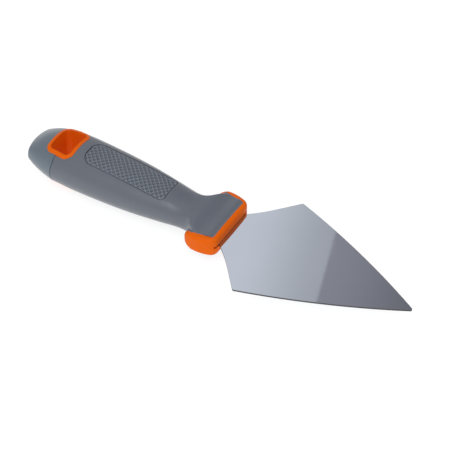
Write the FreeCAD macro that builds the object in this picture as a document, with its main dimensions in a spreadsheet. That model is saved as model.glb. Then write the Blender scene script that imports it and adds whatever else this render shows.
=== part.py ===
"""Pointing trowel: a flat kite-shaped steel blade in a moulded two-colour handle.

Modelled lengthwise along X with the blade's mid-plane at Z = 0 and the guard's front face at
X = 0. Every piece then gets the same placement, so that the finished trowel has +X towards
the tip, Y = 0 as its mirror plane, X = 0 halfway along it and Z = 0 at its lowest point.
"""
import FreeCAD, Part
import math
import os
import Sketcher
from FreeCAD import Placement, Rotation, Vector

# Driving dimensions in millimetres and degrees. "from_guard" is a distance from the guard's
# front face, whichever way the piece lies.
DIMENSIONS = {
    # blade and its tang
    "blade_length": 113.1,
    "blade_width": 76.4,
    "blade_thickness": 1.1,
    "shoulder_from_guard": 23.7,
    "shoulder_radius": 1.2,
    "neck_width": 27.4,
    "neck_arc_from_guard": 13.0,
    "neck_arc_width": 51.8,
    "edge_arc_radius": 510.0,
    "tip_radius": 0.9,
    "ground_face_gap": 0.3,
    "tang_length": 78.0,
    "tang_width": 14.0,
    "tang_thickness": 1.2,
    "tang_shoulder_from_guard": 3.2,
    "tang_end_radius": 4.0,
    # cross pins through the tang
    "pin_diameter": 4.0,
    "pin_length": 11.0,
    "front_pin_from_guard": 30.0,
    "rear_pin_from_guard": 62.0,
    # guard
    "guard_length": 20.4,
    "guard_full_width": 42.0,
    "guard_full_from_guard": 12.0,
    "guard_side_radius": 24.0,
    "guard_corner_radius": 5.0,
    "guard_rear_corner_radius": 5.0,
    "guard_thickness": 14.4,
    "guard_nose_radius": 4.6,
    "guard_slope_radius": 14.0,
    "guard_rounding": 2.6,
    "guard_crown_radius": 180.0,
    "tongue_front_from_guard": 2.3,
    "tongue_front_width": 32.0,
    "tongue_rear_from_guard": 15.5,
    "tongue_rear_width": 36.6,
    "tongue_corner_radius": 1.5,
    "neck_from_guard": 17.5,
    "neck_room_width": 33.6,
    "behind_guard": 24.0,
    "slot_width": 35.2,
    "slot_height": 1.7,
    "slot_depth": 3.4,
    # handle sections, seam and end cap
    "crown_ratio": 1.17,
    "side_ratio": 0.95,
    "corner_ratio": 0.5,
    "seam_from_guard": 112.5,
    "seam_tilt": 5.0,
    "seam_gap": 0.35,
    "butt_from_guard": 134.0,
    "butt_bow_radius": 34.0,
    # cross-hatched inlays
    "pad_front_from_guard": 40.5,
    "pad_rear_from_guard": 95.6,
    "pad_width": 17.0,
    "pad_front_radius": 2.5,
    "pad_rear_radius": 6.0,
    "pad_depth": 1.3,
    "pad_groove": 0.45,
    "pad_land_depth": 0.2,
    # hanging hole and its liner
    "hole_from_guard": 110.8,
    "hole_length": 14.2,
    "hole_front_width": 20.6,
    "hole_rear_width": 17.6,
    "hole_radius": 3.0,
    "liner_wall": 2.1,
    "liner_proud": 0.45,
}

# Cross-sections along the handle: distance from the guard's front face, full width, full
# thickness and, where the ratios above don't give them, the crown, side and corner radii.
GRIP_SECTIONS = {
    "grip_a": (120.0, 35.2, 27.2),
    "grip_b": (105.0, 35.0, 27.2),
    "grip_c": (90.0, 34.7, 27.0),
    "grip_d": (75.0, 33.5, 25.9),
    "grip_e": (61.0, 31.6, 24.2),
    "grip_f": (48.0, 28.7, 22.0),
    "grip_g": (37.0, 25.6, 20.2),
    "grip_h": (30.0, 23.8, 18.4),
    "grip_i": (25.5, 22.8, 17.6, 40.0, 10.0, 3.8),
    "grip_j": (22.0, 24.2, 17.2, 70.0, 12.0, 3.6),
    "grip_k": (19.0, 29.4, 17.0, 100.0, 13.0, 3.4),
    "grip_l": (15.5, 36.6, 16.3, 130.0, 13.0, 3.0),
    "grip_m": (9.0, 39.0, 14.75, 165.0, 13.0, 2.2),
    "grip_n": (3.0, 39.0, 14.0, 175.0, 12.0, 2.0),
}
CORE_SECTIONS = {
    "core_a": (129.0, 19.0, 9.6),
    "core_b": (123.0, 23.6, 15.6),
    "core_c": (113.0, 28.4, 20.6),
    "core_d": (90.0, 28.6, 21.0),
    "core_e": (60.0, 25.4, 18.0),
    "core_f": (34.0, 18.4, 13.2),
    "core_g": (22.0, 20.0, 12.0),
    "core_h": (12.0, 26.4, 11.0),
    "core_i": (1.0, 29.0, 10.4),
}
CAP_SECTIONS = {
    "cap_a": (107.0, 35.6, 28.2),
    "cap_b": (112.5, 34.8, 27.0),
    "cap_c": (120.0, 32.0, 23.6),
    "cap_d": (126.0, 28.8, 19.0),
    "cap_e": (131.0, 25.0, 13.4),
    "cap_f": (136.0, 20.0, 6.4),
}
SECTION_FIELDS = ("from_guard", "width", "thickness", "crown", "side", "corner")

doc = FreeCAD.newDocument("trowel")
sheet = doc.addObject("Spreadsheet::Sheet", "Sizes")


class Measure:
    """A length together with the sheet formula that gives it."""

    def __init__(self, value, formula):
        self.value = value
        self.formula = formula

    def _join(self, sign, other, value):
        text = other.formula if isinstance(other, Measure) else str(other)
        return Measure(value, f"({self.formula} {sign} {text})")

    def __add__(self, other):
        return self._join("+", other, self.value + float_of(other))

    def __sub__(self, other):
        return self._join("-", other, self.value - float_of(other))

    def __mul__(self, other):
        return self._join("*", other, self.value * float_of(other))

    def __truediv__(self, other):
        return self._join("/", other, self.value / float_of(other))

    def __neg__(self):
        return Measure(-self.value, f"(0 - {self.formula})")


def float_of(number):
    return number.value if isinstance(number, Measure) else float(number)


def write_sheet():
    """Put every driving dimension into the sheet, each in a cell of its own name."""
    cells = dict(DIMENSIONS)
    for sections in (GRIP_SECTIONS, CORE_SECTIONS, CAP_SECTIONS):
        for name, values in sections.items():
            _, width, thickness = values[:3]
            radii = values[3:] or (
                DIMENSIONS["crown_ratio"] * width**2 / (2 * thickness),
                DIMENSIONS["side_ratio"] * thickness / 2,
                DIMENSIONS["corner_ratio"] * thickness / 2,
            )
            for field, value in zip(SECTION_FIELDS, values[:3] + radii):
                cells[f"{name}_{field}"] = round(value, 3)
    for row, (alias, value) in enumerate(cells.items(), start=1):
        sheet.set(f"A{row}", alias)
        sheet.set(f"B{row}", str(value))
        sheet.setAlias(f"B{row}", alias)
    doc.recompute()


def size(alias):
    """The named cell as a measure."""
    return Measure(float(getattr(sheet, alias)), f"Sizes.{alias}")


def new_body(name):
    return doc.addObject("PartDesign::Body", name)


def new_sketch(body, name, role, offset=None):
    """A sketch on one of the body's own origin planes, or at an offset along its normal."""
    plane = next(f for f in body.Origin.OriginFeatures if f.Role == role)
    sketch = body.newObject("Sketcher::SketchObject", name)
    sketch.AttachmentSupport = [(plane, "")]
    sketch.MapMode = "FlatFace"
    if offset is not None:
        sketch.setExpression("AttachmentOffset.Base.z", offset.formula)
    return sketch


def dimension(sketch, kind, references, measure):
    """Add a driving dimension and bind it to the sheet."""
    index = sketch.addConstraint(Sketcher.Constraint(kind, *references, measure.value))
    sketch.setExpression(f"Constraints[{index}]", measure.formula)


def fix_point(sketch, curve, end, x, y):
    """Dimension one end (1 or 2) or the centre (3) of a curve from the sketch's origin."""
    for kind, axis, measure in (("DistanceX", -2, x), ("DistanceY", -1, y)):
        if measure is None:
            sketch.addConstraint(Sketcher.Constraint("PointOnObject", curve, end, axis))
        else:
            dimension(sketch, kind, (-1, 1, curve, end), measure)


def arc(centre, start, end):
    """Anticlockwise arc about a centre."""
    first = math.atan2(start[1] - centre[1], start[0] - centre[0])
    last = math.atan2(end[1] - centre[1], end[0] - centre[0])
    if last < first:
        last += 2 * math.pi
    circle = Part.Circle(Vector(*centre, 0), Vector(0, 0, 1), math.dist(centre, start))
    return Part.ArcOfCircle(circle, first, last)


def polygon(sketch, corners):
    """Closed outline of straight lines through corners given as pairs of measures.

    A corner's second measure is None where the corner lies on the sketch's X axis.
    """
    places = [Vector(float_of(x), 0 if y is None else y.value, 0) for x, y in corners]
    lines = [
        sketch.addGeometry(Part.LineSegment(place, places[(i + 1) % len(places)]), False)
        for i, place in enumerate(places)
    ]
    for i, line in enumerate(lines):
        following = lines[(i + 1) % len(lines)]
        sketch.addConstraint(Sketcher.Constraint("Coincident", line, 2, following, 1))
    for line, (x, y) in zip(lines, corners):
        fix_point(sketch, line, 1, x, y)
    return lines


def pad(body, sketch, length, symmetric=True):
    feature = body.newObject("PartDesign::Pad", f"{sketch.Name}_pad")
    feature.Profile = sketch
    feature.setExpression("Length", length.formula)
    feature.Midplane = symmetric
    sketch.Visibility = False
    return feature


def fillet(body, base, is_edge, radius):
    """Round the edges of a feature that a test picks."""
    doc.recompute()
    names = [f"Edge{i}" for i, edge in enumerate(base.Shape.Edges, start=1) if is_edge(edge)]
    feature = body.newObject("PartDesign::Fillet", f"{base.Name}_fillet{len(body.Group)}")
    feature.Base = (base, names)
    feature.setExpression("Radius", radius.formula)
    return feature


def section_sketch(body, section, inset=None):
    """Section across the handle: crown, side and corner arcs, eight in a smooth loop."""
    step = inset or Measure(0.0, "0")
    half_width = size(f"{section}_width") / 2 - step
    half_thickness = size(f"{section}_thickness") / 2 - step
    crown = size(f"{section}_crown") - step
    side = size(f"{section}_side") - step
    corner = size(f"{section}_corner") - step
    crown_drop = crown - half_thickness
    side_shift = half_width - side

    # The corner's centre lies where two circles about the crown's and side's centres cross.
    crown_centre = Vector(0, -crown_drop.value, 0)
    side_centre = Vector(side_shift.value, 0, 0)
    crown_reach = crown.value - corner.value
    side_reach = side.value - corner.value
    apart = side_centre - crown_centre
    along = (crown_reach**2 - side_reach**2 + apart.Length**2) / (2 * apart.Length)
    across = math.sqrt(max(crown_reach**2 - along**2, 0))
    unit = Vector(apart).normalize()
    corner_centre = crown_centre + unit * along + Vector(unit.y, -unit.x, 0) * across
    to_side = math.atan2(corner_centre.y - side_centre.y, corner_centre.x - side_centre.x)
    to_crown = math.atan2(corner_centre.y - crown_centre.y, corner_centre.x - crown_centre.x)

    sketch = new_sketch(body, f"{body.Name}_{section}", "YZ_Plane", -size(f"{section}_from_guard"))
    full, half = 2 * math.pi, math.pi
    cx, cy = corner_centre.x, corner_centre.y
    arcs = [
        (side_centre.x, 0, side.value, -to_side, to_side),
        (cx, cy, corner.value, to_side, to_crown),
        (0, crown_centre.y, crown.value, to_crown, half - to_crown),
        (-cx, cy, corner.value, half - to_crown, half - to_side),
        (-side_centre.x, 0, side.value, half - to_side, half + to_side),
        (-cx, -cy, corner.value, half + to_side, half + to_crown),
        (0, -crown_centre.y, crown.value, half + to_crown, full - to_crown),
        (cx, -cy, corner.value, full - to_crown, full - to_side),
    ]
    for x, y, radius, first, last in arcs:
        circle = Part.Circle(Vector(x, y, 0), Vector(0, 0, 1), radius)
        sketch.addGeometry(Part.ArcOfCircle(circle, first, last), False)
    for i in range(len(arcs)):
        sketch.addConstraint(Sketcher.Constraint("Tangent", i, 2, (i + 1) % len(arcs), 1))
    right, top, left, bottom = 0, 2, 4, 6
    for first, second in ((right, left), (top, bottom), (1, 3), (3, 5), (5, 7)):
        sketch.addConstraint(Sketcher.Constraint("Equal", first, second))
    for curve, radius in ((right, side), (top, crown), (1, corner)):
        dimension(sketch, "Radius", (curve,), radius)
    fix_point(sketch, right, 3, side_shift, None)
    fix_point(sketch, left, 3, -side_shift, None)
    fix_point(sketch, top, 3, None, -crown_drop)
    fix_point(sketch, bottom, 3, None, crown_drop)
    return sketch


def section_loft(name, sections, inset=None):
    """Smooth solid through a list of sections."""
    body = new_body(name)
    sketches = [section_sketch(body, section, inset) for section in sections]
    loft = body.newObject("PartDesign::AdditiveLoft", f"{name}_loft")
    loft.Profile = sketches[0]
    loft.Sections = sketches[1:]
    loft.Ruled = False
    doc.recompute()
    return body


def circle_sketch(body, name, centre_x, diameter):
    sketch = new_sketch(body, name, "XY_Plane")
    circle = Part.Circle(Vector(centre_x.value, 0, 0), Vector(0, 0, 1), diameter.value / 2)
    sketch.addGeometry(circle, False)
    dimension(sketch, "Diameter", (0,), diameter)
    fix_point(sketch, 0, 3, centre_x, None)
    return sketch


def block(name, x_range, width, height):
    """Box from one X to another, centred on the mirror plane and on the blade's plane."""
    box = doc.addObject("Part::Box", name)
    low, high = x_range
    box.setExpression("Length", (high - low).formula)
    box.setExpression("Width", width.formula)
    box.setExpression("Height", height.formula)
    box.setExpression("Placement.Base.x", low.formula)
    box.setExpression("Placement.Base.y", (-width / 2).formula)
    box.setExpression("Placement.Base.z", (-height / 2).formula)
    return box


def fuse(name, shapes):
    feature = doc.addObject("Part::MultiFuse", name)
    feature.Shapes = shapes
    return feature


def common(name, shapes):
    feature = doc.addObject("Part::MultiCommon", name)
    feature.Shapes = shapes
    return feature


def cut(name, base, tools):
    """The base without any of the tools, each of which keeps its own place in the tree."""
    for number, tool in enumerate(tools, start=1):
        feature = doc.addObject("Part::Cut", name if number == len(tools) else f"{name}_{number}")
        feature.Base = base
        feature.Tool = tool
        base = feature
    return base


def upright_at(place):
    """Test for the upright edges at a plan position and at its mirror image."""

    def test(edge):
        near = [math.hypot(v.X - place.x, abs(v.Y) - place.y) < 0.01 for v in edge.Vertexes]
        return all(near) and edge.BoundBox.ZLength > 1

    return test


def add_tang(body):
    """The tang: a full-width neck inside the guard, then a narrow strip with a rounded end."""
    front = size("ground_face_gap")
    half_neck = size("neck_width") / 2
    half_tang = size("tang_width") / 2
    neck_end = -size("tang_shoulder_from_guard")
    tang_end = -size("tang_length")
    outline = new_sketch(body, f"{body.Name}_tang_outline", "XY_Plane")
    polygon(
        outline,
        [
            (front, -half_neck),
            (front, half_neck),
            (neck_end, half_neck),
            (neck_end, half_tang),
            (tang_end, half_tang),
            (tang_end, -half_tang),
            (neck_end, -half_tang),
            (neck_end, -half_neck),
        ],
    )
    strip = pad(body, outline, size("tang_thickness"))
    end_corner = Vector(tang_end.value, half_tang.value, 0)
    fillet(body, strip, upright_at(end_corner), size("tang_end_radius"))


def make_blade():
    """Kite-shaped plate, ground a little thinner than the tang that runs into the handle."""
    body = new_body("blade")
    half_neck = size("neck_width") / 2
    gap = size("ground_face_gap")
    arc_end = (size("neck_arc_from_guard"), size("neck_arc_width") / 2)
    shoulder = (size("shoulder_from_guard"), size("blade_width") / 2)
    tip = size("blade_length")
    edge_radius = size("edge_arc_radius")

    a = Vector(gap.value, half_neck.value, 0)
    b = Vector(arc_end[0].value, arc_end[1].value, 0)
    c = Vector(shoulder[0].value, shoulder[1].value, 0)
    t = Vector(tip.value, 0, 0)
    line = (c - b).normalize()
    left = Vector(-line.y, line.x, 0)
    neck_radius = -(b - a).Length ** 2 / (2 * left.dot(b - a))
    neck_centre = b + left * neck_radius
    chord = t - c
    inward = Vector(chord.y, -chord.x, 0).normalize()
    edge_centre = (c + t) * 0.5 + inward * math.sqrt(edge_radius.value**2 - chord.Length**2 / 4)

    def flat(vector, side):
        return (vector.x, side * vector.y)

    outline = new_sketch(body, "blade_outline", "XY_Plane")
    low_neck, low_line, low_edge, top_edge, top_line, top_neck, rear = range(7)
    for curve in (
        arc(flat(neck_centre, -1), flat(b, -1), flat(a, -1)),
        Part.LineSegment(Vector(b.x, -b.y, 0), Vector(c.x, -c.y, 0)),
        arc(flat(edge_centre, -1), flat(c, -1), flat(t, -1)),
        arc(flat(edge_centre, 1), flat(t, 1), flat(c, 1)),
        Part.LineSegment(c, b),
        arc(flat(neck_centre, 1), flat(a, 1), flat(b, 1)),
        Part.LineSegment(a, Vector(a.x, -a.y, 0)),
    ):
        outline.addGeometry(curve, False)
    for kind, *ends in (
        ("Tangent", low_neck, 1, low_line, 1),
        ("Coincident", low_line, 2, low_edge, 1),
        ("Coincident", low_edge, 2, top_edge, 1),
        ("Coincident", top_edge, 2, top_line, 1),
        ("Tangent", top_line, 2, top_neck, 2),
        ("Coincident", top_neck, 1, rear, 1),
        ("Coincident", rear, 2, low_neck, 2),
        ("Symmetric", rear, 1, rear, 2, -1),
        ("Symmetric", top_line, 1, low_line, 2, -1),
        ("Symmetric", top_line, 2, low_line, 1, -1),
        ("Equal", low_edge, top_edge),
    ):
        outline.addConstraint(Sketcher.Constraint(kind, *ends))
    dimension(outline, "Radius", (top_edge,), edge_radius)
    fix_point(outline, rear, 1, gap, half_neck)
    fix_point(outline, top_line, 2, *arc_end)
    fix_point(outline, top_line, 1, *shoulder)
    fix_point(outline, low_edge, 2, tip, None)
    plate = pad(body, outline, size("blade_thickness"))

    rounded = fillet(body, plate, upright_at(c), size("shoulder_radius"))
    fillet(body, rounded, upright_at(t), size("tip_radius"))

    add_tang(body)
    for name in ("front_pin", "rear_pin"):
        hole = circle_sketch(body, f"{name}_hole", -size(f"{name}_from_guard"), size("pin_diameter"))
        pocket = body.newObject("PartDesign::Pocket", f"{name}_pocket")
        pocket.Profile = hole
        pocket.Type = "ThroughAll"
        pocket.Midplane = True
    return body


def make_tang_room():
    """The space that the tang takes up in the core."""
    body = new_body("tang_room")
    add_tang(body)
    return body


def make_pins(label):
    """Two cross pins that hold the tang in the core."""
    pins = []
    for name in ("front_pin", "rear_pin"):
        pin = doc.addObject("Part::Cylinder", f"{label}_{name}")
        pin.setExpression("Radius", (size("pin_diameter") / 2).formula)
        pin.setExpression("Height", size("pin_length").formula)
        pin.setExpression("Placement.Base.x", (-size(f"{name}_from_guard")).formula)
        pin.setExpression("Placement.Base.z", (-size("pin_length") / 2).formula)
        pins.append(pin)
    return fuse(label, pins)


def make_guard():
    """Guard before the grip is moulded over it: bowed sides, rear ends rounded to a D."""
    body = new_body("guard")
    length = size("guard_length")
    front_radius = size("guard_corner_radius")
    rear_radius = size("guard_rear_corner_radius")
    side_radius = size("guard_side_radius")
    widest = -size("guard_full_from_guard")
    side_drop = size("guard_full_width") / 2 - side_radius

    def corner_height(centre_x, radius):
        reach = side_radius.value - radius.value
        return side_drop.value + math.sqrt(reach**2 - (centre_x - widest.value) ** 2)

    front_x = -front_radius.value
    rear_x = rear_radius.value - length.value
    front_y = corner_height(front_x, front_radius)
    rear_y = corner_height(rear_x, rear_radius)
    to_front = math.atan2(front_y - side_drop.value, front_x - widest.value)
    to_rear = math.atan2(rear_y - side_drop.value, rear_x - widest.value)
    full, half = 2 * math.pi, math.pi

    def turn(x, y, radius, first, last):
        return Part.ArcOfCircle(Part.Circle(Vector(x, y, 0), Vector(0, 0, 1), radius), first, last)

    plan = new_sketch(body, "guard_plan", "XY_Plane")
    front, top_front, top_side, top_rear, rear, low_rear, low_side, low_front = range(8)
    for curve in (
        Part.LineSegment(Vector(0, -front_y, 0), Vector(0, front_y, 0)),
        turn(front_x, front_y, front_radius.value, 0, to_front),
        turn(widest.value, side_drop.value, side_radius.value, to_front, to_rear),
        turn(rear_x, rear_y, rear_radius.value, to_rear, half),
        Part.LineSegment(Vector(-length.value, rear_y, 0), Vector(-length.value, -rear_y, 0)),
        turn(rear_x, -rear_y, rear_radius.value, half, full - to_rear),
        turn(widest.value, -side_drop.value, side_radius.value, full - to_rear, full - to_front),
        turn(front_x, -front_y, front_radius.value, full - to_front, full),
    ):
        plan.addGeometry(curve, False)
    for i in range(8):
        plan.addConstraint(Sketcher.Constraint("Tangent", i, 2, (i + 1) % 8, 1))
    plan.addConstraint(Sketcher.Constraint("Symmetric", front, 1, front, 2, -1))
    plan.addConstraint(Sketcher.Constraint("Symmetric", rear, 1, rear, 2, -1))
    for first, second in ((top_front, low_front), (top_side, low_side), (top_rear, low_rear)):
        plan.addConstraint(Sketcher.Constraint("Equal", first, second))
    plan.addConstraint(Sketcher.Constraint("PointOnObject", front, 1, -2))
    for curve, radius in (
        (top_front, front_radius),
        (top_side, side_radius),
        (top_rear, rear_radius),
    ):
        dimension(plan, "Radius", (curve,), radius)
    fix_point(plan, top_side, 3, widest, side_drop)
    dimension(plan, "DistanceX", (-1, 1, rear, 1), -length)
    slab = pad(body, plan, size("guard_thickness"))

    # Waste around the D-shaped rear ends: a sloping arc above and below a round nose.
    waste = new_sketch(body, "guard_rear_waste", "XZ_Plane")
    nose_radius = size("guard_nose_radius")
    slope_radius = size("guard_slope_radius")
    half_thickness = size("guard_thickness") / 2
    margin = 2
    outer = Vector(-length.value - margin, half_thickness.value + margin, 0)
    nose_x = nose_radius.value - length.value
    slope_y = half_thickness.value - slope_radius.value
    slope_x = nose_x + math.sqrt((slope_radius.value - nose_radius.value) ** 2 - slope_y**2)
    to_nose = math.atan2(-slope_y, nose_x - slope_x)
    for curve in (
        turn(slope_x, slope_y, slope_radius.value, half / 2, to_nose),
        turn(nose_x, 0, nose_radius.value, to_nose, full - to_nose),
        turn(slope_x, -slope_y, slope_radius.value, full - to_nose, 1.5 * half),
    ):
        waste.addGeometry(curve, False)
    upper_slope, nose, lower_slope, lower_up, lower_along, down, upper_along, upper_up = range(8)
    corners = [
        Vector(slope_x, -half_thickness.value, 0),
        Vector(slope_x, -outer.y, 0),
        Vector(outer.x, -outer.y, 0),
        outer,
        Vector(slope_x, outer.y, 0),
        Vector(slope_x, half_thickness.value, 0),
    ]
    for start, end in zip(corners, corners[1:]):
        waste.addGeometry(Part.LineSegment(start, end), False)
    for kind, *ends in (
        ("Tangent", upper_slope, 2, nose, 1),
        ("Tangent", nose, 2, lower_slope, 1),
        ("Coincident", lower_slope, 2, lower_up, 1),
        ("Coincident", lower_up, 2, lower_along, 1),
        ("Coincident", lower_along, 2, down, 1),
        ("Coincident", down, 2, upper_along, 1),
        ("Coincident", upper_along, 2, upper_up, 1),
        ("Coincident", upper_up, 2, upper_slope, 1),
        ("Vertical", lower_up),
        ("Vertical", upper_up),
        ("Vertical", upper_slope, 1, upper_slope, 3),
        ("Vertical", lower_slope, 2, lower_slope, 3),
        ("Horizontal", lower_along),
        ("Horizontal", upper_along),
        ("Symmetric", down, 1, down, 2, -1),
    ):
        waste.addConstraint(Sketcher.Constraint(kind, *ends))
    for curve, radius in ((upper_slope, slope_radius), (nose, nose_radius), (lower_slope, slope_radius)):
        dimension(waste, "Radius", (curve,), radius)
    fix_point(waste, nose, 3, nose_radius - length, None)
    dimension(waste, "DistanceY", (-1, 1, upper_slope, 3), half_thickness - slope_radius)
    dimension(waste, "DistanceY", (-1, 1, lower_slope, 3), slope_radius - half_thickness)
    fix_point(waste, down, 2, -length - margin, half_thickness + margin)
    trim = body.newObject("PartDesign::Pocket", "guard_rear_trim")
    trim.Profile = waste
    trim.Type = "ThroughAll"
    trim.Midplane = True

    # Waste above and below the crowned faces.
    shave = new_sketch(body, "guard_crown_waste", "YZ_Plane")
    crown_radius = size("guard_crown_radius")
    half_width = size("guard_full_width") / 2 + margin
    for side in (1, -1):
        centre_z = (half_thickness - crown_radius) * side
        outer_z = (half_thickness + margin) * side
        y0, z0, r0 = half_width.value, centre_z.value, crown_radius.value
        end_z = z0 + side * math.sqrt(r0**2 - y0**2)
        corners = [
            Vector(-y0, end_z, 0),
            Vector(-y0, outer_z.value, 0),
            Vector(y0, outer_z.value, 0),
            Vector(y0, end_z, 0),
        ]
        first = len(shave.Geometry)
        ends = (y0, end_z), (-y0, end_z)
        shave.addGeometry(arc((0, z0), *(ends if side > 0 else ends[::-1])), False)
        for start, end in zip(corners, corners[1:]):
            shave.addGeometry(Part.LineSegment(start, end), False)
        left, along, right = (first + n for n in (1, 2, 3))
        right_end, left_end = (1, 2) if side > 0 else (2, 1)
        for kind, *points in (
            ("Coincident", first, left_end, left, 1),
            ("Coincident", left, 2, along, 1),
            ("Coincident", along, 2, right, 1),
            ("Coincident", right, 2, first, right_end),
            ("Vertical", left),
            ("Vertical", right),
            ("Symmetric", along, 1, along, 2, -2),
        ):
            shave.addConstraint(Sketcher.Constraint(kind, *points))
        dimension(shave, "Radius", (first,), crown_radius)
        fix_point(shave, first, 3, None, centre_z)
        fix_point(shave, along, 2, half_width, outer_z)
    crowned = body.newObject("PartDesign::Pocket", "guard_crown_trim")
    crowned.Profile = shave
    crowned.Type = "ThroughAll"
    crowned.Midplane = True

    def outer_edge(edge):
        box = edge.BoundBox
        upright = box.XLength < 0.01 and box.YLength < 0.01
        behind = box.YLength > half_width.value and box.XMax < -0.01
        return not upright and not behind

    fillet(body, crowned, outer_edge, size("guard_rounding"))
    return body


def make_tongue():
    """Plan room for the soft grip: a tapered tongue over the guard, a neck, then all behind."""
    body = new_body("tongue")
    neck = size("neck_room_width") / 2
    behind = -size("behind_guard")
    wide = size("blade_width") / 2
    front = (-size("tongue_front_from_guard"), size("tongue_front_width") / 2)
    rear = (-size("tongue_rear_from_guard"), size("tongue_rear_width") / 2)
    side = [
        front,
        rear,
        (-size("neck_from_guard"), neck),
        (behind, neck),
        (behind, wide),
        (-size("butt_from_guard"), wide),
    ]
    outline = new_sketch(body, "tongue_outline", "XY_Plane")
    polygon(outline, [(x, -y) for x, y in reversed(side)] + side)
    prism = pad(body, outline, size("grip_a_thickness") * 1.5)

    def front_corner(edge):
        return edge.BoundBox.ZLength > 1 and abs(edge.CenterOfMass.x - front[0].value) < 0.01

    fillet(body, prism, front_corner, size("tongue_corner_radius"))
    return body


def hole_block(name, wall):
    """Upright prism with the hanging hole's rounded, slightly tapered outline."""
    body = new_body(name)
    half_length = size("hole_length") / 2 + wall
    front_x = half_length - size("hole_from_guard")
    rear_x = -half_length - size("hole_from_guard")
    front_y = size("hole_front_width") / 2 + wall
    rear_y = size("hole_rear_width") / 2 + wall
    outline = new_sketch(body, f"{name}_outline", "XY_Plane")
    polygon(
        outline,
        [(front_x, -front_y), (front_x, front_y), (rear_x, rear_y), (rear_x, -rear_y)],
    )
    prism = pad(body, outline, size("grip_a_thickness") * 1.5)
    fillet(body, prism, lambda edge: edge.BoundBox.ZLength > 1, size("hole_radius") + wall)
    return body


def pad_block(name, side, groove):
    """Upright prism with an inlay's outline, above or below the blade's plane."""
    body = new_body(name)
    front_x = groove - size("pad_front_from_guard")
    rear_x = -groove - size("pad_rear_from_guard")
    half_width = size("pad_width") / 2 + groove
    outline = new_sketch(body, f"{name}_outline", "XY_Plane")
    polygon(
        outline,
        [(front_x, -half_width), (front_x, half_width), (rear_x, half_width), (rear_x, -half_width)],
    )
    prism = pad(body, outline, size("grip_c_thickness"), symmetric=False)
    prism.Reversed = side < 0

    def upright_at_x(x):
        return lambda edge: edge.BoundBox.ZLength > 1 and abs(edge.CenterOfMass.x - x.value) < 0.01

    rounded = fillet(body, prism, upright_at_x(front_x), size("pad_front_radius") + groove)
    fillet(body, rounded, upright_at_x(rear_x), size("pad_rear_radius") + groove)
    return body


def land_loft(name, sections):
    """Bar that follows the handle's crown at a small depth, with flat faces above and below."""
    body = new_body(name)
    half_width = size("pad_width")
    sketches = []
    for section in sections:
        half_height = size(f"{section}_thickness") / 2 - size("pad_land_depth")
        sketch = new_sketch(body, f"{name}_{section}", "YZ_Plane", -size(f"{section}_from_guard"))
        polygon(
            sketch,
            [
                (-half_width, -half_height),
                (half_width, -half_height),
                (half_width, half_height),
                (-half_width, half_height),
            ],
        )
        sketches.append(sketch)
    loft = body.newObject("PartDesign::AdditiveLoft", f"{name}_loft")
    loft.Profile = sketches[0]
    loft.Sections = sketches[1:]
    loft.Ruled = False
    return body


def tilted_block(name, start, length):
    """Block that begins at a distance from the tilted seam plane and runs along X."""
    box = doc.addObject("Part::Box", name)
    box.setExpression("Length", length.formula)
    box.setExpression("Width", size("blade_width").formula)
    box.setExpression("Height", size("blade_width").formula)
    tilt = Rotation(Vector(0, 1, 0), size("seam_tilt").value)
    half = size("blade_width").value / 2
    corner = tilt.multVec(Vector(start.value, -half, -half))
    box.Placement = Placement(Vector(-size("seam_from_guard").value, 0, 0) + corner, tilt)
    return box


write_sheet()

blade = make_blade()
tang_pins = make_pins("tang_pins")
tang_room = make_tang_room()
pin_room = make_pins("pin_room")
guard = make_guard()
grip_envelope = section_loft("grip_envelope", GRIP_SECTIONS)
tongue = make_tongue()
cap_envelope = section_loft("cap_envelope", CAP_SECTIONS)
spine = section_loft("core_spine", CORE_SECTIONS)
liner_outside = hole_block("liner_outside", size("liner_wall"))
liner_inside = hole_block("liner_inside", Measure(0.0, "0"))

# The soft grip runs over the guard, flush with it, as a tongue.
grip_skin = common("grip_skin", [fuse("guarded_grip", [grip_envelope, guard]), tongue])

# The hard core: what is left of the guard, on a spine that fills the handle.
guard_ring = cut("guard_ring", guard, [tongue])
core_blank = fuse("core_blank", [guard_ring, spine])
slot = block(
    "slot",
    (-size("slot_depth"), size("guard_corner_radius")),
    size("slot_width"),
    size("slot_height"),
)
handle_core = cut("handle_core", core_blank, [slot, tang_room, pin_room, liner_outside])

# The liner follows the handle's crown, a little proud of it.
around_hole = ("cap_c", "cap_b", "grip_b", "grip_c")
liner_crown = section_loft("liner_crown", around_hole, -size("liner_proud"))
liner_tube = common("liner_tube", [liner_outside, liner_crown])
hang_hole_liner = cut("hang_hole_liner", liner_tube, [liner_inside])

# A shallow groove marks the tilted seam between grip and cap.
seam_floor = section_loft("seam_floor", around_hole, size("seam_gap") * 2)
seam_slab = tilted_block("seam_slab", -size("seam_gap") / 2, size("seam_gap"))
seam_groove = cut("seam_groove", seam_slab, [seam_floor])
ahead_of_seam = tilted_block("ahead_of_seam", Measure(0.0, "0"), size("seam_from_guard") * 1.5)
behind_seam = tilted_block("behind_seam", -size("seam_from_guard"), size("seam_from_guard"))

# Cross-hatched inlays, each in a pocket of the grip that leaves a groove around it. A flat
# land along each one's crown lets the trowel lie still.
under_pads = ("grip_b", "grip_c", "grip_d", "grip_e", "grip_f", "grip_g", "grip_h")
pad_floor = section_loft("pad_floor", under_pads, size("pad_depth"))
pad_land = land_loft("pad_land", under_pads)
pads = []
pockets = []
for label, side in (("grip_pad_top", 1), ("grip_pad_bottom", -1)):
    outline_block = pad_block(f"{label}_block", side, Measure(0.0, "0"))
    inlay = common(f"{label}_blank", [outline_block, grip_envelope, pad_land])
    pads.append(cut(label, inlay, [pad_floor]))
    room_block = pad_block(f"{label}_room", side, size("pad_groove"))
    pockets.append(cut(f"{label}_pocket", room_block, [pad_floor]))

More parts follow.
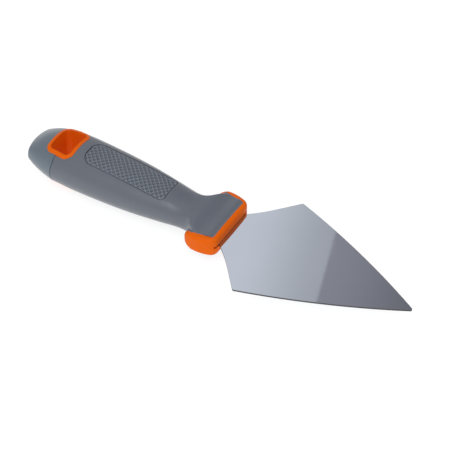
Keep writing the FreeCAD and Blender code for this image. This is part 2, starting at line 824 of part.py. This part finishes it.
grip_blank = common("grip_blank", [grip_skin, ahead_of_seam])
grip_sleeve = cut(
    "grip_sleeve",
    grip_blank,
    [spine, liner_outside, seam_groove, *pockets],
)

# The cap's end is bowed about an upright axis.
bow = doc.addObject("Part::Cylinder", "butt_bow")
bow.setExpression("Radius", size("butt_bow_radius").formula)
bow.setExpression("Height", size("blade_width").formula)
bow.setExpression("Placement.Base.x", (size("butt_bow_radius") - size("butt_from_guard")).formula)
bow.setExpression("Placement.Base.z", (-size("blade_width") / 2).formula)
cap_blank = common("cap_blank", [cap_envelope, behind_seam, bow])
end_cap = cut("end_cap", cap_blank, [spine, liner_outside, seam_groove])

nodes = [blade, tang_pins, handle_core, hang_hole_liner, grip_sleeve, *pads, end_cap]
doc.recompute()

# Every piece is moved alike: halfway along to X = 0 and the lowest point to Z = 0.
extent = Part.makeCompound([node.Shape for node in nodes]).optimalBoundingBox()
shift = Vector(-extent.Center.x, 0, -extent.ZMin)
for node in nodes:
    node.Label = node.Name
    node.Placement = Placement(shift, Rotation())
doc.recompute()

faulty = [feature.Name for feature in doc.Objects if {"Invalid", "Error"} & set(feature.State)]
if faulty:
    raise RuntimeError(f"features that failed: {faulty}")
for node in nodes:
    if node.Shape.isNull() or not node.Shape.isValid() or not node.Shape.Solids:
        raise RuntimeError(f"{node.Label} has no valid solid")

os.makedirs("parts", exist_ok=True)
for node in nodes:
    node.Shape.exportStep(f"parts/{node.Label}.step")
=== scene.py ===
"""Looks of the pointing trowel: cross-hatched inlays, moulded plastics and polished steel."""
import math

import bpy
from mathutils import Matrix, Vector
from mathutils.bvhtree import BVHTree


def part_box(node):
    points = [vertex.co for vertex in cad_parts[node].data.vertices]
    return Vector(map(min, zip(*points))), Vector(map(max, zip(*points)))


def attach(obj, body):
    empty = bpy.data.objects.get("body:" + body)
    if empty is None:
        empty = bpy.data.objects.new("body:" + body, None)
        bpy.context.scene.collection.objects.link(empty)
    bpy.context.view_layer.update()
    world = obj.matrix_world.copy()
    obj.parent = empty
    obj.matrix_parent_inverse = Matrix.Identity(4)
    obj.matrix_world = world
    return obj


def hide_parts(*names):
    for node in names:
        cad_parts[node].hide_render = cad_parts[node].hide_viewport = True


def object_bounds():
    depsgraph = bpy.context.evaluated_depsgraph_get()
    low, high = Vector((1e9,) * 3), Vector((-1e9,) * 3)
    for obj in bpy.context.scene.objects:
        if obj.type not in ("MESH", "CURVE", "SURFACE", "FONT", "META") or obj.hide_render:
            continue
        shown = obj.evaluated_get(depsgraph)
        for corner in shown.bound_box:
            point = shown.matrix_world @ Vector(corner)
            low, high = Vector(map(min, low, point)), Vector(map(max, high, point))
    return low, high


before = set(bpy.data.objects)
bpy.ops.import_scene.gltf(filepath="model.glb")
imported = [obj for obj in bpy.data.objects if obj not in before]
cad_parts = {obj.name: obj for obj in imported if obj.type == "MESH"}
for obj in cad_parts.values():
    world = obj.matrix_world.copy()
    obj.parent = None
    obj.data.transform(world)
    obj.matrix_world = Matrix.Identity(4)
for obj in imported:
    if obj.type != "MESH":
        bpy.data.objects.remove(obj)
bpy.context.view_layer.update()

MM = 0.001

# Landmarks read from the frame: the guard's front face and the blade's mid-plane.
BLADE_LOW, BLADE_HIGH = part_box("blade")
GUARD_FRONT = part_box("handle_core")[1].x
BLADE_PLANE = (BLADE_LOW.z + BLADE_HIGH.z) / 2

# Radiance of the studio's surfaces. The blade mirrors the two cards overhead, and the line
# between them shows on it as a sharp edge. Each card fades from its edge to its far glow.
WORLD_GLOW = 0.55
FLOOR_GLOW = 0.8
WHITE_CARD_GLOW = 0.82
WHITE_CARD_EDGE_GLOW = 0.55
GREY_CARD_EDGE_GLOW = 0.355
GREY_CARD_GLOW = 0.2
SIDE_GLOW = 0.1
TOP_GLOW = 3.5
WHITE_CARD_COLOUR = (1, 1, 1.04)
GREY_CARD_COLOUR = (1, 0.97, 1.07)

# Sizes and places in the studio, in metres. The cards' height is counted from the blade, and
# the two points on their shared line from the guard's front face and the mirror plane.
FLOOR_REACH = 12.0
CARD_HEIGHT = 2.0
CARD_REACH = 1.8
CARD_LINE_NEAR = (-0.7309, 1.5533)
CARD_LINE_FAR = (-0.7840, 1.7180)
WHITE_CARD_WIDTH = 2.4
GREY_CARD_WIDTH = 0.6
WHITE_CARD_FADE = 0.2
GREY_CARD_FADE = 0.26
SIDE_PLACE, SIDE_AIM, SIDE_SIZE = (-0.9, -1.2, 0.35), (0, 0, 0.02), (1.6, 0.7)
TOP_PLACE, TOP_AIM, TOP_SIZE = (0.25, -0.75, 1.2), (-0.03, 0, 0.02), (0.9, 0.9)

# The camera: direction in degrees, distance in metres, lens and sensor in millimetres. It
# aims at a point on the blade's plane, given like the cards' points, raised in the picture.
CAMERA_AZIMUTH = 31.8
CAMERA_ELEVATION = 46.105
CAMERA_DISTANCE = 0.89125
CAMERA_LENS = 127.43
CAMERA_SENSOR = 36
CAMERA_AIM = (-4.17 * MM, 0.417 * MM)
CAMERA_RISE = 0.22 * MM

# Noise on the mouldings and the steel: the range that most of it lies in, and its scales in
# cycles per metre.
NOISE_LOW, NOISE_HIGH = 0.3, 0.7
FLOW_SCALE = 60.0
SHEEN_SCALE = 220.0
WAVE_SCALE = 90.0
BRUSHING_SCALE = 900.0
BRUSHING_STRETCH = (0.04, 1, 1)
PATCH_SCALE = 25.0
SCRATCH_SCALE = 700.0

# Sheen of the mouldings and colours of the floor.
SHEEN_SPREAD = 0.05
COAT_ROUGHNESS = 0.28
FLOOR_COLOUR = (0.3, 0.3, 0.3, 1)
FLOOR_ROUGHNESS = 0.9
FLOOR_SPECULAR = 0.1

# The steel: colours at the two ends of its noise, brushing in metres, and its sheared edge,
# which is where the upward part of the normal is under the limit.
STEEL_COLOURS = (0.585, 0.63, 0.69), (0.605, 0.65, 0.71)
STEEL_ROUGHNESS = (0.022, 0.036)
BRUSHING_DEPTH = 6e-7
EDGE_COLOURS = (0.06, 0.062, 0.065), (0.14, 0.14, 0.145)
EDGE_ROUGHNESS = 0.55
FLANK_LIMIT = 0.5

# Sockets of a mix node for colours.
MIX_FACTOR, MIX_FIRST, MIX_SECOND, MIX_RESULT = 0, 6, 7, 2

# Cross-hatching of the inlays, in metres, and the painted shade: a darker colour painted at the
# bottom of its pits.
HATCH_PITCH_X = 3.2 * MM
HATCH_PITCH_Y = 3.1 * MM
HATCH_DEPTH = 0.9 * MM
HATCH_RIM = 0.5 * MM
PAINTED_PIT_SHADE = (0.085, 0.097, 0.117)

# The ridges' profile: crest and slope as shares of half a pitch, the height that the second
# family of ridges loses, and how far into the rim the plain land reaches.
RIDGE_CREST = 0.2
RIDGE_SLOPE = 0.45
SECOND_RIDGE_LOSS = 0.25
RIM_LAND = 0.6

# The inlays' meshes, in metres: grid, outline, rounded edge and thickness.
INLAY_STEP = 0.2 * MM
INLAY_MARGIN = 0.05 * MM
INLAY_FRONT_RADIUS = 2.5 * MM
INLAY_REAR_RADIUS = 6.0 * MM
INLAY_EDGE_DROP = 0.18 * MM
INLAY_EDGE_WIDTH = 0.35 * MM
INLAY_THICKNESS = 1.1 * MM

# How far the grid's columns crowd together at an inlay's ends, from 0 to 1.
END_CROWDING = 0.6

# Heights over the blade's mid-plane, in metres: where the rays to the plain inlay start, and
# the surface where a ray misses it.
RAY_START = 0.05
PLAIN_CROWN = 0.01


def new_material(name):
    """A node material and its principled shader."""
    material = bpy.data.materials.new(name)
    material.use_nodes = True
    return material, material.node_tree.nodes["Principled BSDF"]


def add_node(material, kind, **settings):
    """A new node. Each setting goes to the socket of that name, or else to the property."""
    node = material.node_tree.nodes.new(kind)
    for key, value in settings.items():
        if key in node.inputs:
            node.inputs[key].default_value = value
        else:
            setattr(node, key, value)
    return node


def link(material, source, target):
    material.node_tree.links.new(source, target)


def object_position(material, stretch=(1, 1, 1)):
    """The piece's own coordinates in metres, stretched along each axis."""
    place = add_node(material, "ShaderNodeTexCoord")
    scaled = add_node(material, "ShaderNodeVectorMath", operation="MULTIPLY")
    scaled.inputs[1].default_value = stretch
    link(material, place.outputs["Object"], scaled.inputs[0])
    return scaled.outputs[0]


def noise(material, scale, detail=3.0, stretch=(1, 1, 1)):
    """Noise from 0 to 1 over the piece's own coordinates."""
    texture = add_node(material, "ShaderNodeTexNoise", Scale=scale, Detail=detail)
    link(material, object_position(material, stretch), texture.inputs["Vector"])
    return texture.outputs["Fac"]


def remap(material, value, low, high):
    """Noise, which lies around a half, spread between two values."""
    ramp = add_node(material, "ShaderNodeMapRange")
    ramp.inputs["From Min"].default_value = NOISE_LOW
    ramp.inputs["From Max"].default_value = NOISE_HIGH
    ramp.inputs["To Min"].default_value = low
    ramp.inputs["To Max"].default_value = high
    link(material, value, ramp.inputs["Value"])
    return ramp.outputs["Result"]


def mix_colours(material, fac, first, second):
    """First colour where the factor is 0, second where it is 1."""
    mix = add_node(material, "ShaderNodeMix", data_type="RGBA")
    mix.inputs[MIX_FIRST].default_value = (*first, 1)
    mix.inputs[MIX_SECOND].default_value = (*second, 1)
    link(material, fac, mix.inputs[MIX_FACTOR])
    return mix.outputs[MIX_RESULT]


def bump(material, heights, shader):
    """Chain of bumps, given as (height output, distance in metres)."""
    normal = None
    for height, distance in heights:
        node = add_node(material, "ShaderNodeBump", Distance=distance, Strength=1.0)
        link(material, height, node.inputs["Height"])
        if normal is not None:
            link(material, normal, node.inputs["Normal"])
        normal = node.outputs["Normal"]
    link(material, normal, shader.inputs["Normal"])


def moulded(name, colour, shade, roughness, grain, grain_size, coat=0.0, specular=0.5):
    """Moulded plastic or rubber: fine grain, faint flow marks and uneven sheen."""
    material, shader = new_material(name)
    cloud = noise(material, FLOW_SCALE, detail=4.0)
    fac = remap(material, cloud, 0.0, 1.0)
    link(material, mix_colours(material, fac, colour, shade), shader.inputs["Base Color"])
    sheen = noise(material, SHEEN_SCALE)
    link(
        material,
        remap(material, sheen, roughness - SHEEN_SPREAD, roughness + SHEEN_SPREAD),
        shader.inputs["Roughness"],
    )
    shader.inputs["Specular IOR Level"].default_value = specular
    shader.inputs["Coat Weight"].default_value = coat
    shader.inputs["Coat Roughness"].default_value = COAT_ROUGHNESS
    fine = noise(material, 1 / grain_size, detail=2.0)
    waves = noise(material, WAVE_SCALE, detail=2.0)
    bump(material, [(fine, grain), (waves, grain * 2)], shader)
    return material


def paint_pit_shade(material, pit_shade_colour):
    """Painted shade in the pits of a hatched mesh, darker by its own depth attribute."""
    target = material.node_tree.nodes["Principled BSDF"].inputs["Base Color"]
    plain = target.links[0].from_socket
    depth = add_node(material, "ShaderNodeAttribute", attribute_name="pit")
    mix = add_node(material, "ShaderNodeMix", data_type="RGBA")
    mix.inputs[MIX_SECOND].default_value = (*pit_shade_colour, 1)
    link(material, depth.outputs["Fac"], mix.inputs[MIX_FACTOR])
    link(material, plain, mix.inputs[MIX_FIRST])
    link(material, mix.outputs[MIX_RESULT], target)


def is_flank(material, limit):
    """One where the surface stands upright, as on a sheet's edge, otherwise zero."""
    geometry = add_node(material, "ShaderNodeNewGeometry")
    parts = add_node(material, "ShaderNodeSeparateXYZ")
    link(material, geometry.outputs["Normal"], parts.inputs[0])
    size = add_node(material, "ShaderNodeMath", operation="ABSOLUTE")
    link(material, parts.outputs["Z"], size.inputs[0])
    test = add_node(material, "ShaderNodeMath", operation="LESS_THAN")
    test.inputs[1].default_value = limit
    link(material, size.outputs[0], test.inputs[0])
    return test.outputs[0]


def polished_steel():
    """Polished sheet: long faint brushing, patches of sheen, dull dark sheared edges."""
    material, shader = new_material("polished_steel")
    brushing = noise(material, BRUSHING_SCALE, stretch=BRUSHING_STRETCH)
    patches = noise(material, PATCH_SCALE, detail=4.0)
    fac = remap(material, patches, 0.0, 1.0)
    link(material, mix_colours(material, fac, *STEEL_COLOURS), shader.inputs["Base Color"])
    shader.inputs["Metallic"].default_value = 1.0
    link(material, remap(material, brushing, *STEEL_ROUGHNESS), shader.inputs["Roughness"])
    bump(material, [(brushing, BRUSHING_DEPTH)], shader)
    edge = add_node(
        material, "ShaderNodeBsdfPrincipled", Roughness=EDGE_ROUGHNESS, Metallic=1.0
    )
    scratches = noise(material, SCRATCH_SCALE)
    link(material, mix_colours(material, scratches, *EDGE_COLOURS), edge.inputs["Base Color"])
    both = add_node(material, "ShaderNodeMixShader")
    link(material, is_flank(material, FLANK_LIMIT), both.inputs[0])
    link(material, shader.outputs[0], both.inputs[1])
    link(material, edge.outputs[0], both.inputs[2])
    link(material, both.outputs[0], material.node_tree.nodes["Material Output"].inputs["Surface"])
    return material


GREY = moulded(
    "grey_grip",
    colour=(0.104, 0.119, 0.15),
    shade=(0.098, 0.113, 0.142),
    roughness=0.55,
    grain=0.02 * MM,
    grain_size=0.4 * MM,
    coat=0.7,
)
CAP_GREY = moulded(
    "grey_cap",
    colour=(0.102, 0.138, 0.174),
    shade=(0.097, 0.131, 0.165),
    roughness=0.5,
    grain=0.02 * MM,
    grain_size=0.4 * MM,
    coat=0.7,
)
INLAY_GREY = moulded(
    "grey_inlay",
    colour=(0.17, 0.192, 0.23),
    shade=(0.16, 0.182, 0.22),
    roughness=0.45,
    grain=0.01 * MM,
    grain_size=0.4 * MM,
)
# Painted shade: the inlays' pits are darkened by their depth, standing in for the shade that
# falls in them.
paint_pit_shade(INLAY_GREY, PAINTED_PIT_SHADE)
ORANGE = moulded(
    "orange_plastic",
    colour=(0.8, 0.13, 0.003),
    shade=(0.77, 0.122, 0.0025),
    roughness=0.36,
    grain=0.012 * MM,
    grain_size=0.5 * MM,
    specular=0.06,
)
STEEL = polished_steel()
PIN_STEEL = moulded(
    "pin_steel",
    colour=(0.4, 0.4, 0.42),
    shade=(0.36, 0.36, 0.38),
    roughness=0.3,
    grain=0.005 * MM,
    grain_size=0.3 * MM,
)

FINISHES = {
    "blade": STEEL,
    "tang_pins": PIN_STEEL,
    "handle_core": ORANGE,
    "hang_hole_liner": ORANGE,
    "grip_sleeve": GREY,
    "grip_pad_top": INLAY_GREY,
    "grip_pad_bottom": INLAY_GREY,
    "end_cap": CAP_GREY,
}
for node_name, finish in FINISHES.items():
    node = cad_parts[node_name]
    node.data.materials.clear()
    node.data.materials.append(finish)


def tree_of(node_name):
    """Search tree of a CAD node's faces, for rays."""
    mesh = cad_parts[node_name].data
    vertices = [v.co for v in mesh.vertices]
    return BVHTree.FromPolygons(vertices, [p.vertices[:] for p in mesh.polygons])


def half_width_at(x, low, high):
    """Half the inlay's width at X, given its box: rounded ends of two different radii."""
    half = (high.y - low.y) / 2
    for radius, run in ((INLAY_FRONT_RADIUS, high.x - x), (INLAY_REAR_RADIUS, x - low.x)):
        if run < radius:
            reach = max(radius - run, 0)
            return half - radius + math.sqrt(max(radius**2 - reach**2, 0))
    return half


def hatch(x, y, edge_distance):
    """Share of the full depth: crossing ridges with pits between, none at the rim."""
    valley = 1.0
    for sign, ridge_loss in ((1, 0.0), (-1, SECOND_RIDGE_LOSS)):
        phase = x / HATCH_PITCH_X + sign * y / HATCH_PITCH_Y
        off_ridge = abs(phase - round(phase)) * 2
        hollow = min(max((off_ridge - RIDGE_CREST) / RIDGE_SLOPE, 0), 1)
        valley *= ridge_loss + (1 - ridge_loss) * hollow
    rim = min(max(edge_distance / HATCH_RIM - RIM_LAND, 0), 1)
    return valley * rim


def make_inlay(node_name, side):
    """Cross-hatched inlay on the surface of its plain CAD solid."""
    low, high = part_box(node_name)
    tree = tree_of(node_name)
    down = Vector((0, 0, -side))
    length = high.x - low.x - 2 * INLAY_MARGIN
    columns = int(length / INLAY_STEP)
    rows = int((high.y - low.y) / INLAY_STEP)
    vertices, faces, depths = [], [], []
    for i in range(columns + 1):
        # Columns crowd together at the rounded ends.
        t = i / columns
        t = t - math.sin(2 * math.pi * t) / (2 * math.pi) * END_CROWDING
        x = low.x + INLAY_MARGIN + length * t
        half = half_width_at(x, low, high) - INLAY_MARGIN
        end_distance = min(x - low.x, high.x - x)
        for j in range(rows + 1):
            y = half * (2 * j / rows - 1)
            start = Vector((x, y, BLADE_PLANE + side * RAY_START))
            hit = tree.ray_cast(start, down)[0]
            edge_distance = min(half - abs(y), end_distance)
            crown = hit.z if hit else BLADE_PLANE + side * PLAIN_CROWN
            rounding = INLAY_EDGE_DROP * max(1 - edge_distance / INLAY_EDGE_WIDTH, 0) ** 2
            share = hatch(x - low.x, y, edge_distance)
            depths.append(share)
            vertices.append((x, y, crown - side * (rounding + HATCH_DEPTH * share)))
    width = rows + 1
    for i in range(columns):
        for j in range(rows):
            a = i * width + j
            faces.append((a, a + width, a + width + 1, a + 1))
    top_count = len(vertices)
    vertices += [(x, y, z - side * INLAY_THICKNESS) for x, y, z in vertices]
    faces += [tuple(v + top_count for v in reversed(face)) for face in faces]
    border = [i * width for i in range(columns + 1)]
    border += [columns * width + j for j in range(1, width)]
    border += [i * width + rows for i in range(columns - 1, -1, -1)]
    border += [j for j in range(rows - 1, 0, -1)]
    for a, b in zip(border, border[1:] + border[:1]):
        faces.append((b, a, a + top_count, b + top_count))
    mesh = bpy.data.meshes.new(f"hatched_{node_name}")
    if side < 0:
        faces = [tuple(reversed(face)) for face in faces]
    mesh.from_pydata(vertices, [], faces)
    mesh.update()
    mesh.shade_smooth()
    # The pits' depth, which also sets how much shade the inlay material paints into them.
    pit = mesh.attributes.new("pit", "FLOAT", "POINT")
    pit.data.foreach_set("value", depths + [0.0] * top_count)
    inlay = bpy.data.objects.new(f"hatched_{node_name}", mesh)
    bpy.context.scene.collection.objects.link(inlay)
    mesh.materials.append(INLAY_GREY)
    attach(inlay, "root")
    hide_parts(node_name)


make_inlay("grip_pad_top", 1)
make_inlay("grip_pad_bottom", -1)


def add_sheet(name, corners, material):
    """Flat four-cornered sheet that belongs to the studio."""
    mesh = bpy.data.meshes.new(name)
    mesh.from_pydata(corners, [], [(0, 1, 2, 3)])
    mesh.materials.append(material)
    sheet = bpy.data.objects.new(name, mesh)
    bpy.context.scene.collection.objects.link(sheet)
    return sheet


def make_floor():
    """Matt floor at the trowel's lowest point, glowing a little."""
    material, shader = new_material("pale_floor")
    shader.inputs["Base Color"].default_value = FLOOR_COLOUR
    shader.inputs["Roughness"].default_value = FLOOR_ROUGHNESS
    shader.inputs["Specular IOR Level"].default_value = FLOOR_SPECULAR
    shader.inputs["Emission Color"].default_value = (1, 1, 1, 1)
    shader.inputs["Emission Strength"].default_value = FLOOR_GLOW
    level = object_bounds()[0].z
    corners = ((-1, -1), (1, -1), (1, 1), (-1, 1))
    add_sheet("floor", [(x * FLOOR_REACH, y * FLOOR_REACH, level) for x, y in corners], material)


def make_card(name, side, width, colour, edge_glow, far_glow, fade_width):
    """Glowing card overhead, on one side (1 or -1) of the line that the blade mirrors."""
    material, shader = new_material(name)
    shader.inputs["Base Color"].default_value = (0, 0, 0, 1)
    shader.inputs["Specular IOR Level"].default_value = 0.0
    shader.inputs["Emission Color"].default_value = (*colour, 1)
    place = add_node(material, "ShaderNodeTexCoord")
    parts = add_node(material, "ShaderNodeSeparateXYZ")
    link(material, place.outputs["Object"], parts.inputs[0])
    fade = add_node(material, "ShaderNodeMapRange", interpolation_type="SMOOTHSTEP")
    fade.inputs["From Min"].default_value = 0.0
    fade.inputs["From Max"].default_value = fade_width
    fade.inputs["To Min"].default_value = edge_glow
    fade.inputs["To Max"].default_value = far_glow
    link(material, parts.outputs["X"], fade.inputs["Value"])
    link(material, fade.outputs["Result"], shader.inputs["Emission Strength"])
    height = BLADE_PLANE + CARD_HEIGHT
    near_end = Vector((GUARD_FRONT + CARD_LINE_NEAR[0], CARD_LINE_NEAR[1], height))
    far_end = Vector((GUARD_FRONT + CARD_LINE_FAR[0], CARD_LINE_FAR[1], height))
    along = (far_end - near_end).normalized()
    away = Vector((-along.y, along.x, 0)) * side
    # The sheet's own X runs away from the shared edge.
    corners = ((0, -1), (width, -1), (width, 1), (0, 1))
    sheet = add_sheet(name, [(x, y * CARD_REACH, 0) for x, y in corners], material)
    sheet.location = (near_end + far_end) / 2
    sheet.rotation_euler.z = math.atan2(away.y, away.x)


def add_area(name, place, aim, size, glow):
    """Soft light of a given radiance."""
    light = bpy.data.lights.new(name, "AREA")
    light.shape = "RECTANGLE"
    light.size, light.size_y = size
    light.energy = glow * math.pi * size[0] * size[1]
    lamp = bpy.data.objects.new(name, light)
    lamp.location = place
    lamp.rotation_mode = "QUATERNION"
    lamp.rotation_quaternion = (Vector(aim) - Vector(place)).to_track_quat("-Z", "Y")
    bpy.context.scene.collection.objects.link(lamp)


def make_lights():
    """The world's even glow, a weak light from the side and a stronger one from above."""
    world = bpy.data.worlds.new("studio")
    world.use_nodes = True
    bpy.context.scene.world = world
    background = world.node_tree.nodes["Background"]
    background.inputs["Color"].default_value = (1, 1, 1, 1)
    background.inputs["Strength"].default_value = WORLD_GLOW
    add_area("side", SIDE_PLACE, SIDE_AIM, SIDE_SIZE, SIDE_GLOW)
    add_area("top", TOP_PLACE, TOP_AIM, TOP_SIZE, TOP_GLOW)


def make_camera():
    """Long lens, looking down on the trowel across the tip end."""
    azimuth, elevation = math.radians(CAMERA_AZIMUTH), math.radians(CAMERA_ELEVATION)
    back = Vector(
        (
            math.sin(azimuth) * math.cos(elevation),
            -math.cos(azimuth) * math.cos(elevation),
            math.sin(elevation),
        )
    )
    right = Vector((math.cos(azimuth), math.sin(azimuth), 0))
    up = back.cross(right)
    aim = Vector((GUARD_FRONT + CAMERA_AIM[0], CAMERA_AIM[1], BLADE_PLANE)) + up * CAMERA_RISE
    camera = bpy.data.cameras.new("camera")
    camera.lens = CAMERA_LENS
    camera.sensor_width = CAMERA_SENSOR
    viewer = bpy.data.objects.new("camera", camera)
    viewer.location = aim + back * CAMERA_DISTANCE
    viewer.rotation_mode = "QUATERNION"
    viewer.rotation_quaternion = (-back).to_track_quat("-Z", "Y")
    bpy.context.scene.collection.objects.link(viewer)
    bpy.context.scene.camera = viewer


make_floor()
make_card(
    "white_card",
    1,
    WHITE_CARD_WIDTH,
    WHITE_CARD_COLOUR,
    WHITE_CARD_EDGE_GLOW,
    WHITE_CARD_GLOW,
    WHITE_CARD_FADE,
)
make_card(
    "grey_card",
    -1,
    GREY_CARD_WIDTH,
    GREY_CARD_COLOUR,
    GREY_CARD_EDGE_GLOW,
    GREY_CARD_GLOW,
    GREY_CARD_FADE,
)
make_lights()
make_camera()
bpy.context.scene.view_settings.view_transform = "Standard"
